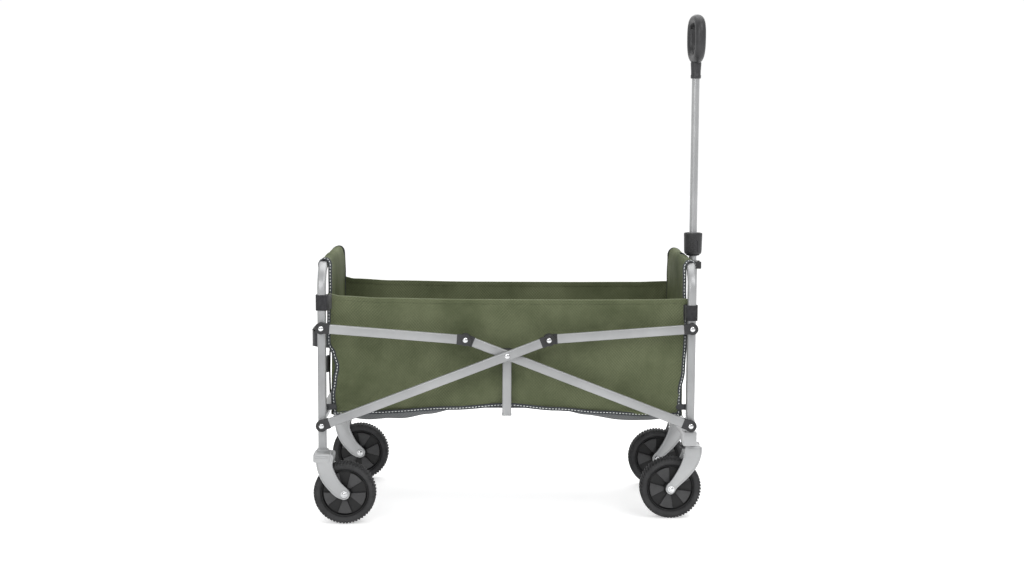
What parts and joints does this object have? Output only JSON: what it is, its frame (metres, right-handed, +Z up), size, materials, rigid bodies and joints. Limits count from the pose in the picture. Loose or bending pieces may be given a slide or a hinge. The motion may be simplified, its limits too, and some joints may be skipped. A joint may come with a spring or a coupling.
{
  "type": "folding wagon",
  "caption": "Folding utility wagon with a fabric tub, scissor side frames, caster front wheels and a telescopic pull handle.",
  "frame": {"origin": "middle of the footprint, on the ground", "axes": "+X forward to the pull handle, +Y to the wagon's left, +Z up"},
  "size_m": [0.984, 0.5488, 1.231],
  "materials": {
    "tube": "satin",
    "dark_steel": "satin",
    "fork": "satin",
    "fastener": "satin",
    "plastic": "satin",
    "tread": "matte",
    "canvas": "matte",
    "webbing": "matte",
    "floor": "matte"
  },
  "bodies": {
    "rear_frame": {"rear_hoop": "tube", "rear_crossbar": "tube", "rear_floor_rod": "dark_steel", "rear_rivets": "fastener", "rear_fork_left": "fork", "rear_fork_right": "fork", "rear_axles": "fastener", "rear_end_panel": "canvas", "rear_grab_handle": "webbing", "closing_strap": "webbing", "strap_buckle": "plastic", "rear_leg_straps": "webbing", "side_panel_left": "canvas", "side_panel_right": "canvas"},
    "rear_diagonals": {"rear_diagonals": "tube", "rear_diagonal_ends": "plastic", "crossing_pins": "fastener"},
    "front_diagonals": {"front_diagonals": "tube", "front_diagonal_ends": "plastic"},
    "centre_frame": {"centre_posts": "tube", "centre_crossbar": "dark_steel", "post_caps": "plastic", "floor_centre": "floor", "pull_loop": "webbing"},
    "front_frame": {"front_hoop": "tube", "front_crossbar": "tube", "front_floor_rod": "dark_steel", "front_rivets": "fastener", "caster_sockets": "plastic", "handle_bracket": "dark_steel", "handle_bolt": "fastener", "handle_clip": "plastic", "front_end_panel": "canvas", "front_leg_straps": "webbing"},
    "rear_links": {"rear_links": "tube", "rear_link_ends": "plastic"},
    "front_links": {"front_links": "tube", "front_link_ends": "plastic"},
    "rear_board": {"floor_board_rear": "floor"},
    "front_board": {"floor_board_front": "floor"},
    "handle": {"handle_tube": "tube", "lock_core": "plastic"},
    "lock": {"lock_sleeve": "plastic"},
    "rod": {"handle_rod": "tube", "handle_grip": "plastic"},
    "caster_left": {"caster_left": "fork", "stem_left": "fastener", "front_axle_left": "fastener"},
    "caster_right": {"caster_right": "fork", "stem_right": "fastener", "front_axle_right": "fastener"},
    "wheel_rear_left": {"tyre_rear_left": "tread", "hub_rear_left": "plastic"},
    "wheel_rear_right": {"tyre_rear_right": "tread", "hub_rear_right": "plastic"},
    "wheel_front_left": {"tyre_front_left": "tread", "hub_front_left": "plastic"},
    "wheel_front_right": {"tyre_front_right": "tread", "hub_front_right": "plastic"}
  },
  "joints": [
    {"name": "fold", "type": "hinge", "parent": "rear_frame", "child": "rear_diagonals", "pos_m": [-0.444, 0, 0.237], "axis": [0, -1, 0], "range_deg": [0, 60.71], "deforming": ["side_panel_left", "side_panel_right"]},
    {"name": "fold_cross", "type": "hinge", "parent": "rear_diagonals", "child": "front_diagonals", "pos_m": [0, 0, 0.408], "axis": [0, -1, 0], "range_deg": [-121.43, 0]},
    {"name": "fold_post", "type": "hinge", "parent": "rear_diagonals", "child": "centre_frame", "pos_m": [0, 0, 0.408], "axis": [0, -1, 0], "range_deg": [-60.72, 0], "deforming": ["floor_centre", "pull_loop"]},
    {"name": "fold_front", "type": "hinge", "parent": "front_diagonals", "child": "front_frame", "pos_m": [0.444, 0, 0.237], "axis": [0, -1, 0], "range_deg": [0, 60.72]},
    {"name": "fold_rear_link", "type": "hinge", "parent": "rear_frame", "child": "rear_links", "pos_m": [-0.444, 0, 0.473], "axis": [0, -1, 0], "range_deg": [0, 85.62]},
    {"name": "fold_front_link", "type": "hinge", "parent": "front_frame", "child": "front_links", "pos_m": [0.444, 0, 0.473], "axis": [0, -1, 0], "range_deg": [-85.62, 0]},
    {"name": "fold_rear_board", "type": "hinge", "parent": "rear_frame", "child": "rear_board", "pos_m": [-0.418, 0, 0.278], "axis": [0, -1, 0], "range_deg": [0, 88]},
    {"name": "fold_front_board", "type": "hinge", "parent": "front_frame", "child": "front_board", "pos_m": [0.418, 0, 0.278], "axis": [0, -1, 0], "range_deg": [-88, 0]},
    {"name": "handle_swing", "type": "hinge", "parent": "front_frame", "child": "handle", "pos_m": [0.469, 0, 0.205], "axis": [0, 1, 0], "range_deg": [0, 95]},
    {"name": "rod_slide", "type": "slide", "parent": "handle", "child": "rod", "axis": [0, 0, 1], "range_m": [-0.37, 0]},
    {"name": "lock_slide", "type": "slide", "parent": "handle", "child": "lock", "axis": [0, 0, 1], "range_m": [0, 0.008], "stiffness_N_per_m": 400, "springref_m": -0.004},
    {"name": "caster_left_swivel", "type": "hinge", "parent": "front_frame", "child": "caster_left", "pos_m": [0.444, 0.176, 0.17], "axis": [0, 0, 1], "continuous": true},
    {"name": "caster_right_swivel", "type": "hinge", "parent": "front_frame", "child": "caster_right", "pos_m": [0.444, -0.176, 0.17], "axis": [0, 0, -1], "continuous": true},
    {"name": "wheel_rear_left_spin", "type": "hinge", "parent": "rear_frame", "child": "wheel_rear_left", "pos_m": [-0.389, 0.24, 0.075], "axis": [0, 1, 0], "continuous": true},
    {"name": "wheel_rear_right_spin", "type": "hinge", "parent": "rear_frame", "child": "wheel_rear_right", "pos_m": [-0.389, -0.24, 0.075], "axis": [0, 1, 0], "continuous": true},
    {"name": "wheel_front_left_spin", "type": "hinge", "parent": "caster_left", "child": "wheel_front_left", "pos_m": [0.402, 0.176, 0.075], "axis": [0, 1, 0], "continuous": true},
    {"name": "wheel_front_right_spin", "type": "hinge", "parent": "caster_right", "child": "wheel_front_right", "pos_m": [0.402, -0.176, 0.075], "axis": [0, 1, 0], "continuous": true}
  ],
  "couplings": [
    {"joint": "fold_cross", "follows": "fold", "ratio": -2},
    {"joint": "fold_post", "follows": "fold", "ratio": -1},
    {"joint": "fold_front", "follows": "fold", "ratio": 1},
    {"joint": "fold_rear_link", "follows": "fold", "ratio": 1.4101},
    {"joint": "fold_front_link", "follows": "fold", "ratio": -1.4101},
    {"joint": "fold_rear_board", "follows": "fold", "ratio": 1.4493},
    {"joint": "fold_front_board", "follows": "fold", "ratio": -1.4493}
  ]
}
